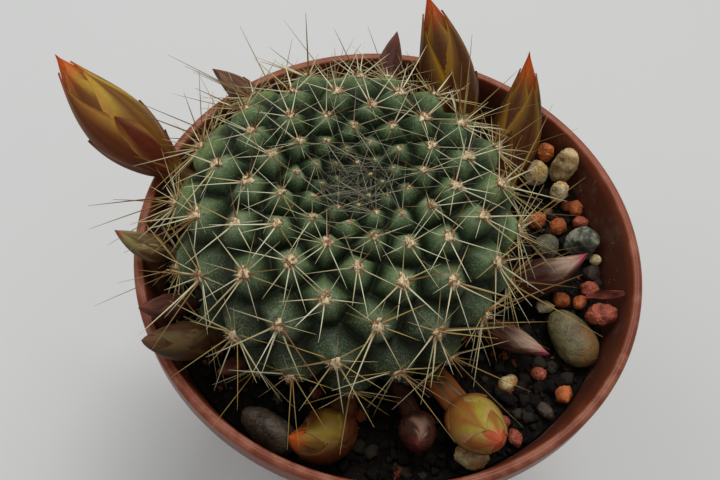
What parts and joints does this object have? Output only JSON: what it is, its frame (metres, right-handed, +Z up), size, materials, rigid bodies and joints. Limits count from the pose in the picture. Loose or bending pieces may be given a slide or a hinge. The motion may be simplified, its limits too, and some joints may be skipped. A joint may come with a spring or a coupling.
{
  "type": "potted round cactus",
  "caption": "Low round cactus with pale and golden spines and flower buds round its flank, in gritty soil in a terracotta-coloured plastic pot.",
  "frame": {"origin": "middle of the pot's underside, on the disc that the pot stands on", "axes": "+Z up along the pot's axis; -Y towards the front of the picture; +X to the right, where the bare soil with the stones is"},
  "size_m": [0.1073, 0.09, 0.1014],
  "materials": {
    "pot": "satin",
    "soil": "matte",
    "cactus": "matte",
    "bud_ripe": "satin",
    "bud_middle": "satin",
    "bud_young": "satin",
    "stone_pale": "matte",
    "stone_grey": "matte",
    "stone_dark": "matte",
    "stone_cream": "matte",
    "stone_orange": "matte",
    "stone_red": "matte",
    "stone_tan": "matte",
    "dried_petal": "matte"
  },
  "bodies": {
    "root": {"pot": "pot", "soil": "soil", "cactus": "cactus", "bud_1": "bud_ripe", "bud_2": "bud_ripe", "bud_3": "bud_ripe", "bud_4": "bud_young", "bud_5": "bud_young", "bud_6": "bud_young", "bud_7": "bud_young", "bud_8": "bud_middle", "bud_9": "bud_young", "bud_10": "bud_middle", "bud_11": "bud_young", "bud_12": "bud_middle", "bud_13": "bud_young", "bud_14": "bud_young", "stone_pebble_pale": "stone_pale", "stone_pebble_brown": "stone_grey", "stone_slate": "stone_dark", "stone_tan_upright": "stone_tan", "stone_cream_back": "stone_cream", "stone_white_back": "stone_cream", "stone_orange_back": "stone_orange", "stone_red_rough": "stone_red", "stone_orange_1": "stone_orange", "stone_orange_2": "stone_orange", "stone_cream_block": "stone_cream", "stone_tan_small": "stone_tan", "stone_dark_red": "stone_red", "stone_dark_brown": "stone_dark", "stone_round_pale": "stone_cream", "stone_red_back": "stone_red", "stone_orange_3": "stone_orange", "stone_orange_4": "stone_orange", "stone_orange_brown": "stone_orange", "stone_grey_green": "stone_grey", "stone_orange_chip": "stone_orange", "stone_grey_chip": "stone_grey", "stone_red_front_1": "stone_red", "stone_red_front_2": "stone_red", "stone_red_right": "stone_red", "stone_brown_right": "stone_tan", "stone_brown_front": "stone_tan", "dried_petal": "dried_petal"}
  },
  "joints": []
}
